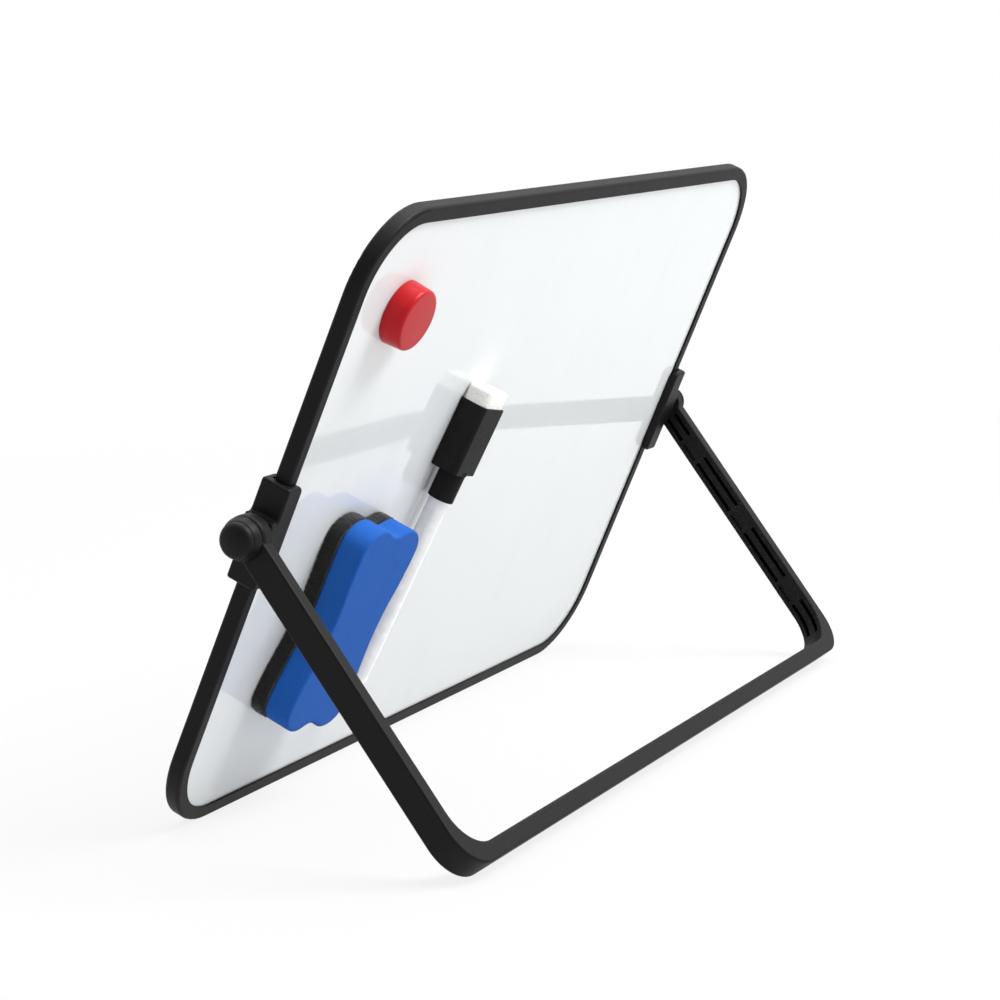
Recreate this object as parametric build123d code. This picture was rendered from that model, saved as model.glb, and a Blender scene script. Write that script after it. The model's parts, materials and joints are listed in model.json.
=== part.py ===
from build123d import *
import math
import os

# Desk whiteboard easel: a framed double-sided steel board that turns in a U-shaped stand,
# with a round magnet, a felt eraser and a capped marker held on its writing face.
#
# Frame: +X along the board's width, +Z up, the writing side with the accessories faces -Y.
# The origin is on the desk, under the middle of the object's box. All sizes are in mm.

# ---------------------------------------------------------------- driving dimensions
BOARD_WIDTH = 300.0
BOARD_HEIGHT = 210.0
BOARD_CORNER_RADIUS = 27.0
BOARD_LEAN_DEG = 24.55         # from vertical, the top leaning towards the stand
PIVOT_ABOVE_BOTTOM = 106.3     # pivot axis above the board's bottom edge, along the board

# board panel and frame
FRAME_DEPTH = 5.4
FRAME_WALL = 1.6
FRAME_EDGE_RADIUS = 1.2
RIM_WIDTH = 4.8
RIM_LIP = 0.8
LIP_EDGE_RADIUS = 0.3
TONGUE_WIDTH = 0.6
TONGUE_HEIGHT = 0.8
SHEET_THICKNESS = 0.3
PANEL_GAP = 0.1                # panel edge to the frame's wall

# U stand
STAND_REACH = 117.1            # pivot axis to the outside of the base bar
STAND_DEPTH = 9.5              # arm and base bar, square to the U's plane
ARM_THICKNESS = 5.0
ARM_OUTSIDE = 10.85            # arm's outer face beyond the board's side
BASE_THICKNESS = 5.9
STAND_OUTER_RADIUS = 13.0
STAND_INNER_RADIUS = 13.0
STAND_EDGE_RADIUS = 0.8
EYE_RADIUS = 7.0
EYE_EDGE_RADIUS = 1.6
EYE_INNER_EDGE_RADIUS = 0.4

# coring slots in the arms' inner faces: distances from the pivot axis along the arm
SLOT_WIDTH = 1.4
SLOT_DEPTH = 3.2
SLOT_OFFSET = 1.95             # slot's middle from the arm's middle line
SLOT_RUNS = ((6.4, 16.4), (27.3, 49.8), (60.5, 83.2))
SLOT_CURVE_START = 94.2
SLOT_CURVE_DEG = 48.0
PAD_GROOVE_RUNS = ((18.3, 25.6), (51.6, 58.6), (85.2, 92.2))
PAD_GROOVE_DEPTH = 0.7

# rail clamps
CLAMP_LENGTH = 33.8
CLAMP_HALF_DEPTH = 5.05
CLAMP_WALL = 2.8               # outside of the board's side
CLAMP_LIP_REACH = 5.7          # lips over the frame's rim
CLAMP_EDGE_RADIUS = 0.9
CLAMP_CORNER_RADIUS = 1.0      # outer corners and the hollow ones beside the pad
CLAMP_LIP_CORNER_RADIUS = 2.2  # corners of the lips over the rim
CLAMP_SLIP = 0.05              # slot to rail
CLAMP_BEAD_WIDTH = 0.8
CLAMP_BEAD_CLEARANCE = 0.1     # bead to the steel sheet
CLAMP_MOUTH_DEPTH = 1.5
CLAMP_MOUTH_WIDEN = 0.5
PAD_LENGTH = 12.0
PAD_OUTSIDE = 5.65             # pad's face beyond the board's side
PAD_RECESS = 0.35              # seat of the spring washer

# pivot hardware, one set a side
SHOULDER_RADIUS = 2.5
EYE_BORE_RADIUS = 2.55
THREAD_RADIUS = 2.0
SCREW_HEAD_RADIUS = 3.8
SCREW_HEAD_HEIGHT = 2.4
SCREW_HEAD_EDGE_RADIUS = 0.8
SCREW_DRIVE_WIDTH = 1.0
SCREW_DRIVE_REACH = 2.3        # half the span of the cross
SCREW_DRIVE_DEPTH = 1.2
SCREW_TIP_GAP = 0.1
NUT_ACROSS_FLATS = 7.0
NUT_HEIGHT = 3.0
NUT_GAP = 0.1
WASHER_RADIUS = 4.75
WASHER_THICKNESS = 0.8
SPRING_WASHER_RADIUS = 4.1
SPRING_WASHER_THICKNESS = 0.25
CAP_GAP = 0.1                  # cap and washer to the arm's eye
CAP_FLANGE_RADIUS = 6.7
CAP_FLANGE_HEIGHT = 2.9
CAP_SLOPE_HEIGHT = 2.2         # sloping part of the flange
CAP_SLOPE_INSET = 0.9
CAP_BUTTON_RADIUS = 5.7        # round button on the flange
CAP_BUTTON_RISE = 3.1
CAP_BUTTON_EDGE_RADIUS = 2.6

# round magnet, eraser and marker: places on the writing face, from the board's lower left
MAGNET_PLACE = (31.85, 176.0)
MAGNET_RADIUS = 10.3
MAGNET_HEIGHT = 7.1
MAGNET_DRAFT = 0.4
MAGNET_EDGE_RADIUS = 1.1
MAGNET_DISC_RADIUS = 8.0
MAGNET_DISC_HEIGHT = 3.5
MAGNET_DISC_RECESS = 0.2

ERASER_PLACE = (55.1, 68.7)
ERASER_TURN_DEG = 9.9
ERASER_LOBE_HALF_WIDTH = 19.9
ERASER_LOBE_HEIGHT = 27.2
ERASER_WAIST_HALF_WIDTH = 16.9
ERASER_HALF_LENGTH = 35.3
ERASER_LOBE_SPREAD = 9.5
ERASER_NOTCH = 1.9
ERASER_FELT_THICKNESS = 4.9
ERASER_FOAM_THICKNESS = 9.0
ERASER_FELT_MARGIN = 1.1       # felt beyond the foam along its long sides
ERASER_FOAM_EDGE_RADIUS = 0.8
ERASER_MAGNET_SIZE = (24.0, 8.0, 1.5)
ERASER_MAGNET_SPREAD = 16.0

MARKER_PLACE = (109.3, 137.1)  # middle of the cap's upper end
MARKER_TURN_DEG = 10.2
MARKER_AXIS_HEIGHT = 5.4       # axis above the writing face
CAP_BLOCK_WIDTH = 16.2
CAP_BLOCK_HEIGHT = 9.7
CAP_BLOCK_LENGTH = 24.1
CAP_BLOCK_EDGE_RADIUS = 1.2
CAP_COLLAR_RADIUS = 4.5
CAP_LENGTH = 34.4
CAP_BORE_RADIUS = 3.25
CAP_BORE_END = 8.0
CAP_FELT_SIZE = (15.4, 9.0, 5.4)
CAP_FELT_CORNER = 2.4
CAP_FELT_SOCKET = 0.6
CAP_MAGNET_SIZE = (7.0, 1.1, 14.0)
CAP_MAGNET_RECESS = 0.2
BARREL_RADIUS = 3.6
BARREL_BORE_RADIUS = 2.8
BARREL_END = 106.0             # barrel's far end from the cap's upper end
PLUG_HEAD = 3.0
PLUG_LENGTH = 9.0
PLUG_EDGE_RADIUS = 1.2
NOSE_RADIUS = 3.15
NOSE_START = 13.0
NOSE_CONE = 5.0
NOSE_TIP_RADIUS = 1.7
NOSE_SPIGOT_LENGTH = 6.0
NIB_RADIUS = 1.1
NIB_START = 9.6
NIB_BACK = 44.0
RESERVOIR_RADIUS = 2.5
RESERVOIR_START = 42.0
MARKER_GAP = 0.05              # barrel's shoulder to the cap's rim

# ---------------------------------------------------------------- worked-out values
HALF_DEPTH = FRAME_DEPTH / 2
SHEET_FACE = HALF_DEPTH - RIM_LIP
BOARD_SIDE = BOARD_WIDTH / 2
BOARD_MIDDLE = BOARD_HEIGHT / 2 - PIVOT_ABOVE_BOTTOM
ARM_INSIDE = ARM_OUTSIDE - ARM_THICKNESS
PAD_SEAT = PAD_OUTSIDE - PAD_RECESS
BASE_INSIDE = STAND_REACH - BASE_THICKNESS
lean = math.radians(BOARD_LEAN_DEG)


def pivot_height():
    """Height of the pivot axis when the frame's rounded lower edge touches the desk."""
    along = (PIVOT_ABOVE_BOTTOM - FRAME_EDGE_RADIUS) * math.cos(lean)
    across = (HALF_DEPTH - FRAME_EDGE_RADIUS) * math.sin(lean)
    return along + across + FRAME_EDGE_RADIUS


def stand_angle():
    """Angle of the arms from vertical when the base bar's rounded edge touches the desk."""
    along = STAND_REACH - STAND_EDGE_RADIUS
    across = STAND_DEPTH / 2 - STAND_EDGE_RADIUS
    drop = pivot_height() - STAND_EDGE_RADIUS
    return math.atan2(across, along) + math.acos(drop / math.hypot(along, across))


swing = stand_angle()
PIVOT = (0, 0, pivot_height())
BOARD_NORMAL = (0, -math.cos(lean), -math.sin(lean))
STAND_NORMAL = (0, -math.cos(swing), math.sin(swing))
board_plane = Plane(origin=PIVOT, x_dir=(1, 0, 0), z_dir=BOARD_NORMAL)
stand_plane = Plane(origin=PIVOT, x_dir=(1, 0, 0), z_dir=STAND_NORMAL)


# ---------------------------------------------------------------- shared shapes
def board_slab(inset, low, high):
    """Rounded plate of the board's outline less an inset, from depth low to depth high."""
    width = BOARD_WIDTH - 2 * inset
    height = BOARD_HEIGHT - 2 * inset
    outline = RectangleRounded(width, height, BOARD_CORNER_RADIUS - inset)
    return Pos(0, BOARD_MIDDLE, low) * extrude(outline, high - low)


def side_rod(radius, start, end):
    """Round bar on the pivot axis, from start to end beyond the board's right side."""
    bar = Cylinder(radius, end - start, align=(Align.CENTER, Align.CENTER, Align.MIN))
    return Pos(BOARD_SIDE + start, 0, 0) * Rot(0, 90, 0) * bar


def both_sides(piece):
    """The piece for the right side and its mirror image for the left side."""
    return {"right": piece, "left": mirror(piece, about=Plane.YZ)}


def face_place(place, height):
    """A point on the writing face as board coordinates, at a height above the face."""
    return (place[0] - BOARD_SIDE, place[1] - PIVOT_ABOVE_BOTTOM, SHEET_FACE + height)


def box_between(low, high):
    """Box from its lowest corner to its highest."""
    size = [b - a for a, b in zip(low, high)]
    return Pos(*low) * Box(*size, align=(Align.MIN, Align.MIN, Align.MIN))


# ---------------------------------------------------------------- board
def frame_half():
    """Front half of the two-part frame: outer wall, lip over the panel, tongue groove."""
    body = board_slab(0, 0, HALF_DEPTH)
    body = fillet(body.faces().sort_by(Axis.Z)[-1].outer_wire().edges(), FRAME_EDGE_RADIUS)
    body -= board_slab(FRAME_WALL, 0, SHEET_FACE)
    body -= board_slab(RIM_WIDTH, 0, HALF_DEPTH)
    lip_edges = body.faces().sort_by(Axis.Z)[-1].inner_wires()[0].edges()
    return fillet(lip_edges, LIP_EDGE_RADIUS)


def tongue(slack):
    """Ring that locates the two frame halves on each other, grown all round by slack."""
    inset = (FRAME_WALL - TONGUE_WIDTH) / 2
    outer = board_slab(inset - slack, 0, TONGUE_HEIGHT + slack)
    return outer - board_slab(inset + TONGUE_WIDTH + slack, 0, TONGUE_HEIGHT + slack)


def board_parts():
    """Two frame halves, two steel sheets and the core between them."""
    half = frame_half()
    inset = FRAME_WALL + PANEL_GAP
    core_half = SHEET_FACE - SHEET_THICKNESS
    return {
        "front_frame": half - tongue(PANEL_GAP / 2),
        "rear_frame": mirror(half, about=Plane.XY) + tongue(0),
        "front_sheet": board_slab(inset, core_half, SHEET_FACE),
        "rear_sheet": board_slab(inset, -SHEET_FACE, -core_half),
        "panel_core": board_slab(inset, -core_half, core_half),
    }


# ---------------------------------------------------------------- clamps and pivots
def clamp_outline():
    """Clamp and pivot pad as seen square to the board, rounded where the pad meets the wall."""
    width = CLAMP_WALL + CLAMP_LIP_REACH
    align = (Align.MIN, Align.CENTER)
    block = Pos(BOARD_SIDE - CLAMP_LIP_REACH, 0) * Rectangle(width, CLAMP_LENGTH, align=align)
    outline = block + Pos(BOARD_SIDE, 0) * Rectangle(PAD_OUTSIDE, PAD_LENGTH, align=align)
    outline = fillet(outline.vertices().group_by(Axis.X)[-2], CLAMP_CORNER_RADIUS)
    return fillet(outline.vertices().group_by(Axis.X)[0], CLAMP_LIP_CORNER_RADIUS)


def clamp_block():
    """C-shaped block over the frame's side rail, with beads that snap behind the rim."""
    block = extrude(clamp_outline(), CLAMP_HALF_DEPTH, both=True)
    block = fillet(block.faces().filter_by(Axis.Z).edges(), CLAMP_EDGE_RADIUS)
    inner_end = BOARD_SIDE - CLAMP_LIP_REACH
    half_slot = HALF_DEPTH + CLAMP_SLIP
    block -= box_between(
        (inner_end - CLAMP_WALL, -CLAMP_LENGTH, -half_slot),
        (BOARD_SIDE + CLAMP_SLIP, CLAMP_LENGTH, half_slot),
    )
    half_bead = CLAMP_LENGTH / 2 - CLAMP_LIP_CORNER_RADIUS
    low = SHEET_FACE + CLAMP_BEAD_CLEARANCE
    bead = box_between(
        (inner_end, -half_bead, low),
        (inner_end + CLAMP_BEAD_WIDTH, half_bead, half_slot + CLAMP_BEAD_CLEARANCE),
    )
    return block + bead + mirror(bead, about=Plane.XY)


def clamp():
    """Clamp block with its screw bore, washer seat, nut pocket and widened slot mouths."""
    body = clamp_block()
    body -= side_rod(THREAD_RADIUS + CLAMP_SLIP, 0, PAD_OUTSIDE)
    body -= side_rod(SPRING_WASHER_RADIUS + CLAMP_SLIP, PAD_SEAT, PAD_OUTSIDE)
    flats = 2 * (NUT_ACROSS_FLATS / 2 + CLAMP_SLIP) / math.sqrt(3)
    pocket = extrude(RegularPolygon(flats, 6), NUT_HEIGHT + 2 * NUT_GAP)
    body -= Pos(BOARD_SIDE, 0, 0) * Rot(0, 90, 0) * pocket
    reach = HALF_DEPTH + CLAMP_SLIP + CLAMP_MOUTH_WIDEN
    for end in (-1, 1):
        middle = end * (CLAMP_LENGTH / 2)
        body -= box_between(
            (BOARD_SIDE - RIM_WIDTH, middle - CLAMP_MOUTH_DEPTH, -reach),
            (BOARD_SIDE + CLAMP_SLIP, middle + CLAMP_MOUTH_DEPTH, reach),
        )
    return body


def pivot_screw():
    """Shoulder screw: the arm's eye turns on its shoulder, its thread goes into the nut."""
    washer_end = ARM_OUTSIDE + CAP_GAP + WASHER_THICKNESS
    head_end = washer_end + SCREW_HEAD_HEIGHT
    screw = side_rod(THREAD_RADIUS, SCREW_TIP_GAP, PAD_SEAT)
    screw += side_rod(SHOULDER_RADIUS, PAD_SEAT, washer_end)
    head = side_rod(SCREW_HEAD_RADIUS, washer_end, head_end)
    screw += fillet(head.edges().sort_by(Axis.X)[-1], SCREW_HEAD_EDGE_RADIUS)
    start = BOARD_SIDE + head_end - SCREW_DRIVE_DEPTH
    bar = (SCREW_DRIVE_REACH, SCREW_DRIVE_WIDTH / 2)
    for y, z in (bar, bar[::-1]):
        screw -= box_between((start, -y, -z), (BOARD_SIDE + head_end, y, z))
    return screw


def pivot_nut():
    """Hexagon nut held in the clamp's pocket, against the rail."""
    hexagon = RegularPolygon(NUT_ACROSS_FLATS / math.sqrt(3), 6)
    nut = extrude(hexagon - Circle(THREAD_RADIUS), NUT_HEIGHT)
    return Pos(BOARD_SIDE + NUT_GAP, 0, 0) * Rot(0, 90, 0) * nut


def washer():
    """Flat washer between the arm's eye and the screw's head."""
    start = ARM_OUTSIDE + CAP_GAP
    ring = side_rod(WASHER_RADIUS, start, start + WASHER_THICKNESS)
    return ring - side_rod(SHOULDER_RADIUS, start, start + WASHER_THICKNESS)


def spring_washer():
    """Coned spring washer that presses the arm's eye outwards from the clamp's pad."""
    low = BOARD_SIDE + PAD_SEAT
    high = BOARD_SIDE + ARM_INSIDE - SPRING_WASHER_THICKNESS
    inner = SHOULDER_RADIUS + CLAMP_SLIP
    section = Polyline(
        (low, SPRING_WASHER_RADIUS),
        (low + SPRING_WASHER_THICKNESS, SPRING_WASHER_RADIUS),
        (high + SPRING_WASHER_THICKNESS - CAP_GAP / 2, inner),
        (high - CAP_GAP / 2, inner),
        close=True,
    )
    return revolve(make_face(section), Axis.X)


def pivot_cap():
    """Button-shaped cover on a sloping flange, hollow over the screw's head and the washer."""
    start = ARM_OUTSIDE + CAP_GAP
    flange_end = start + CAP_FLANGE_HEIGHT
    button = side_rod(CAP_BUTTON_RADIUS, start, flange_end + CAP_BUTTON_RISE)
    button = fillet(button.edges().sort_by(Axis.X)[-1], CAP_BUTTON_EDGE_RADIUS)
    top_radius = CAP_FLANGE_RADIUS - CAP_SLOPE_INSET
    align = (Align.CENTER, Align.CENTER, Align.MAX)
    slope = Cone(CAP_FLANGE_RADIUS, top_radius, CAP_SLOPE_HEIGHT, align=align)
    cap = side_rod(CAP_FLANGE_RADIUS, start, flange_end - CAP_SLOPE_HEIGHT)
    cap += Pos(BOARD_SIDE + flange_end, 0, 0) * Rot(0, 90, 0) * slope
    cap += button
    washer_end = start + WASHER_THICKNESS
    cap -= side_rod(WASHER_RADIUS, start, washer_end)
    room = washer_end + SCREW_HEAD_HEIGHT + CAP_GAP
    return cap - side_rod(SCREW_HEAD_RADIUS + CAP_GAP, washer_end, room)


# ---------------------------------------------------------------- stand
def corner_sector(side):
    """Area beside the inner corner that a curved coring slot takes, in the stand's plane."""
    inside = BOARD_SIDE + ARM_INSIDE
    centre_x = inside - STAND_INNER_RADIUS
    centre_y = STAND_INNER_RADIUS - BASE_INSIDE
    reach = STAND_INNER_RADIUS + SLOT_DEPTH
    ring = Circle(reach) - Circle(STAND_INNER_RADIUS / 2)
    far = 2 * reach
    turn = math.radians(SLOT_CURVE_DEG)
    wedge = make_face(Polyline(
        (0, 0), (far, 0), (far, -far), (far * math.cos(turn), -far * math.sin(turn)), close=True
    ))
    area = Pos(centre_x, centre_y) * (ring & wedge)
    straight = SLOT_CURVE_START - (BASE_INSIDE - STAND_INNER_RADIUS)
    run = Rectangle(SLOT_DEPTH, -straight, align=(Align.MIN, Align.MIN))
    area += Pos(inside, centre_y) * run
    return area if side > 0 else mirror(area, about=Plane.YZ)


def arm_slot(side, run, offset, depth):
    """Straight slot in an arm's inner face, from run[0] to run[1] below the pivot."""
    inside = BOARD_SIDE + ARM_INSIDE
    low_x, high_x = sorted((side * (inside - depth), side * (inside + depth)))
    half = SLOT_WIDTH / 2
    return box_between((low_x, -run[1], offset - half), (high_x, -run[0], offset + half))


def stand_frame():
    """U-shaped stand: two arms with round eyes, a base bar and cored inner faces."""
    outside = BOARD_SIDE + ARM_OUTSIDE
    inside = BOARD_SIDE + ARM_INSIDE
    low = Pos(0, -STAND_REACH)
    align = (Align.CENTER, Align.MIN)
    outline = low * Rectangle(2 * outside, STAND_REACH, align=align)
    outline = fillet(outline.vertices().group_by(Axis.Y)[0], STAND_OUTER_RADIUS)
    hollow = Pos(0, -BASE_INSIDE) * Rectangle(2 * inside, BASE_INSIDE, align=align)
    hollow = fillet(hollow.vertices().group_by(Axis.Y)[0], STAND_INNER_RADIUS)
    body = extrude(outline - hollow, STAND_DEPTH / 2, both=True)
    rims = [face.outer_wire().edges() for face in body.faces().filter_by(Axis.Z)]
    long_edges = [edge for rim in rims for edge in rim if edge.center().Y < -EYE_EDGE_RADIUS]
    body = fillet(long_edges, STAND_EDGE_RADIUS)
    eye = side_rod(EYE_RADIUS, ARM_INSIDE, ARM_OUTSIDE)
    eye = fillet(eye.edges().sort_by(Axis.X)[-1], EYE_EDGE_RADIUS)
    eye = fillet(eye.edges().sort_by(Axis.X)[0], EYE_INNER_EDGE_RADIUS)
    bore = side_rod(EYE_BORE_RADIUS, ARM_INSIDE, ARM_OUTSIDE)
    for piece in both_sides(eye).values():
        body += piece
    for piece in both_sides(bore).values():
        body -= piece
    for side in (-1, 1):
        for offset in (-SLOT_OFFSET, SLOT_OFFSET):
            for run in SLOT_RUNS:
                body -= arm_slot(side, run, offset, SLOT_DEPTH)
            curve = extrude(corner_sector(side), SLOT_WIDTH)
            body -= Pos(0, 0, offset - SLOT_WIDTH / 2) * curve
        for run in PAD_GROOVE_RUNS:
            body -= arm_slot(side, run, -SLOT_OFFSET, PAD_GROOVE_DEPTH)
    return body


# ---------------------------------------------------------------- round magnet
def magnet_parts():
    """Moulded round cap with a ferrite disc set in its underside."""
    lower = Circle(MAGNET_RADIUS)
    upper = Pos(0, 0, MAGNET_HEIGHT) * Circle(MAGNET_RADIUS - MAGNET_DRAFT)
    shell = loft([lower, upper])
    shell = fillet(shell.edges().sort_by(Axis.Z)[-1], MAGNET_EDGE_RADIUS)
    disc = extrude(Circle(MAGNET_DISC_RADIUS), MAGNET_DISC_HEIGHT)
    shell -= extrude(Circle(MAGNET_DISC_RADIUS), MAGNET_DISC_HEIGHT + MAGNET_DISC_RECESS)
    place = Pos(*face_place(MAGNET_PLACE, 0))
    return {
        "magnet_shell": place * shell,
        "magnet_disc": place * Pos(0, 0, MAGNET_DISC_RECESS) * disc,
    }


# ---------------------------------------------------------------- eraser
def eraser_outline(margin):
    """Waisted outline, two rounded lobes at each end; the margin widens its long sides."""
    waist = (ERASER_WAIST_HALF_WIDTH + margin, 0)
    side = (ERASER_LOBE_HALF_WIDTH + margin, ERASER_LOBE_HEIGHT)
    lobe = (ERASER_LOBE_SPREAD, ERASER_HALF_LENGTH)
    notch = (0, ERASER_HALF_LENGTH - ERASER_NOTCH)
    quarter = [
        Spline(waist, side, tangents=[(0, 1), (0, 1)]),
        Spline(side, lobe, tangents=[(0, 1), (-1, 0)]),
        Spline(lobe, notch, tangents=[(-1, 0), (-1, 0)]),
    ]
    right = quarter + [mirror(edge, about=Plane.XZ) for edge in quarter]
    return make_face(right + [mirror(edge, about=Plane.YZ) for edge in right])


def eraser_parts():
    """Foam block on a thick felt pad, with two magnet strips let into the foam."""
    felt = extrude(eraser_outline(ERASER_FELT_MARGIN), ERASER_FELT_THICKNESS)
    foam = extrude(eraser_outline(0), ERASER_FOAM_THICKNESS)
    foam = fillet(foam.faces().sort_by(Axis.Z)[-1].edges(), ERASER_FOAM_EDGE_RADIUS)
    strip = Box(*ERASER_MAGNET_SIZE, align=(Align.CENTER, Align.CENTER, Align.MIN))
    strips = [Pos(0, end * ERASER_MAGNET_SPREAD, 0) * strip for end in (-1, 1)]
    for piece in strips:
        foam -= piece
    place = Pos(*face_place(ERASER_PLACE, 0)) * Rot(0, 0, -ERASER_TURN_DEG)
    lift = place * Pos(0, 0, ERASER_FELT_THICKNESS)
    return {
        "eraser_felt": place * felt,
        "eraser_foam": lift * foam,
        "eraser_magnets": lift * Compound(strips),
    }


# ---------------------------------------------------------------- marker
def down_rod(radius, start, end):
    """Round bar on the marker's axis, from start to end below the cap's upper end."""
    return Pos(0, 0, -end) * Cylinder(
        radius, end - start, align=(Align.CENTER, Align.CENTER, Align.MIN)
    )


def marker_cap():
    """Cap with a flat-sided head, a round collar and a blind bore for the marker's nose."""
    head = Pos(0, CAP_BLOCK_HEIGHT / 2 - MARKER_AXIS_HEIGHT, -CAP_BLOCK_LENGTH) * Box(
        CAP_BLOCK_WIDTH, CAP_BLOCK_HEIGHT, CAP_BLOCK_LENGTH,
        align=(Align.CENTER, Align.CENTER, Align.MIN),
    )
    head = fillet(head.edges().filter_by(Axis.Z), CAP_BLOCK_EDGE_RADIUS)
    cap = head + down_rod(CAP_COLLAR_RADIUS, CAP_BLOCK_LENGTH, CAP_LENGTH)
    cap -= down_rod(CAP_BORE_RADIUS, CAP_BORE_END, CAP_LENGTH)
    cap -= felt_block(-CAP_FELT_SOCKET, CAP_FELT_SOCKET)
    return cap - cap_magnet()


def felt_block(low, height):
    """Rounded block centred on the cap's head, from a height over the cap's upper end."""
    outline = RectangleRounded(CAP_FELT_SIZE[0], CAP_FELT_SIZE[1], CAP_FELT_CORNER)
    centre = CAP_BLOCK_HEIGHT / 2 - MARKER_AXIS_HEIGHT
    return Pos(0, centre, low) * extrude(outline, height)


def cap_magnet():
    """Thin bar magnet let into the cap's flat back."""
    width, thickness, length = CAP_MAGNET_SIZE
    back = CAP_MAGNET_RECESS - MARKER_AXIS_HEIGHT
    low = (-width / 2, back, -(CAP_BLOCK_LENGTH + length) / 2)
    high = (width / 2, back + thickness, -(CAP_BLOCK_LENGTH - length) / 2)
    return box_between(low, high)


def marker_nose():
    """Nose that the cap covers: cone, sleeve and the spigot pressed into the barrel."""
    cone_end = NOSE_START + NOSE_CONE
    shoulder = CAP_LENGTH + MARKER_GAP
    cone = Pos(0, 0, -(NOSE_START + NOSE_CONE / 2)) * Cone(NOSE_RADIUS, NOSE_TIP_RADIUS, NOSE_CONE)
    nose = cone + down_rod(NOSE_RADIUS, cone_end, shoulder)
    nose += down_rod(BARREL_BORE_RADIUS, shoulder, shoulder + NOSE_SPIGOT_LENGTH)
    return nose - down_rod(NIB_RADIUS, 0, shoulder + NOSE_SPIGOT_LENGTH)


def marker_nib():
    """Bullet nib with a rounded tip, running back into the reservoir."""
    nib = down_rod(NIB_RADIUS, NIB_START + NIB_RADIUS, NIB_BACK)
    return nib + Pos(0, 0, -(NIB_START + NIB_RADIUS)) * Sphere(NIB_RADIUS)


def marker_parts():
    """Cap with its felt and magnet, and the pen that pulls out of it."""
    barrel = down_rod(BARREL_RADIUS, CAP_LENGTH + MARKER_GAP, BARREL_END - PLUG_HEAD)
    barrel -= down_rod(BARREL_BORE_RADIUS, CAP_LENGTH, BARREL_END)
    plug = down_rod(BARREL_RADIUS, BARREL_END - PLUG_HEAD, BARREL_END)
    plug = fillet(plug.edges().sort_by(Axis.Z)[0], PLUG_EDGE_RADIUS)
    plug += down_rod(BARREL_BORE_RADIUS, BARREL_END - PLUG_LENGTH, BARREL_END - PLUG_HEAD)
    reservoir = down_rod(RESERVOIR_RADIUS, RESERVOIR_START, BARREL_END - PLUG_LENGTH)
    reservoir -= down_rod(NIB_RADIUS, RESERVOIR_START, NIB_BACK)
    turn = math.radians(MARKER_TURN_DEG)
    plane = Plane(
        origin=face_place(MARKER_PLACE, MARKER_AXIS_HEIGHT),
        x_dir=(-math.cos(turn), math.sin(turn), 0),
        z_dir=(math.sin(turn), math.cos(turn), 0),
    )
    pieces = {
        "marker_cap": marker_cap(),
        "cap_felt": felt_block(-CAP_FELT_SOCKET, CAP_FELT_SIZE[2] + CAP_FELT_SOCKET),
        "cap_magnet": cap_magnet(),
        "marker_nose": marker_nose(),
        "marker_nib": marker_nib(),
        "marker_barrel": barrel,
        "ink_reservoir": reservoir,
        "marker_plug": plug,
    }
    return {name: plane.location * piece for name, piece in pieces.items()}


# ---------------------------------------------------------------- assembly
def pivot_parts():
    """Clamp and pivot hardware for both sides, as left_ and right_ nodes."""
    kinds = {
        "clamp": clamp(),
        "pivot_nut": pivot_nut(),
        "pivot_screw": pivot_screw(),
        "spring_washer": spring_washer(),
        "washer": washer(),
        "pivot_cap": pivot_cap(),
    }
    parts = {}
    for kind, piece in kinds.items():
        for side, solid in both_sides(piece).items():
            parts[f"{side}_{kind}"] = solid
    return parts


def assemble():
    """All nodes in the object's own frame."""
    flat = board_parts() | pivot_parts() | magnet_parts() | eraser_parts() | marker_parts()
    placed = {name: board_plane.location * piece for name, piece in flat.items()}
    placed["stand_frame"] = stand_plane.location * stand_frame()
    box = Compound([solid for piece in placed.values() for solid in piece.solids()]).bounding_box()
    shift = -(box.min.Y + box.max.Y) / 2
    print("pivot at", [round(value, 4) for value in (0, shift, PIVOT[2])])
    print("stand angle from vertical", round(math.degrees(swing), 3))
    print("box", box.size, "lowest", round(box.min.Z, 4))
    return {name: Pos(0, shift, 0) * piece for name, piece in placed.items()}


os.makedirs("parts", exist_ok=True)
for node, piece in assemble().items():
    export_step(piece, f"parts/{node}.step")
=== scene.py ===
import json
import math
import random

import bmesh
import bpy
from bpy.props import FloatProperty, FloatVectorProperty, IntProperty, PointerProperty
from mathutils import Matrix, Vector

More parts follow.
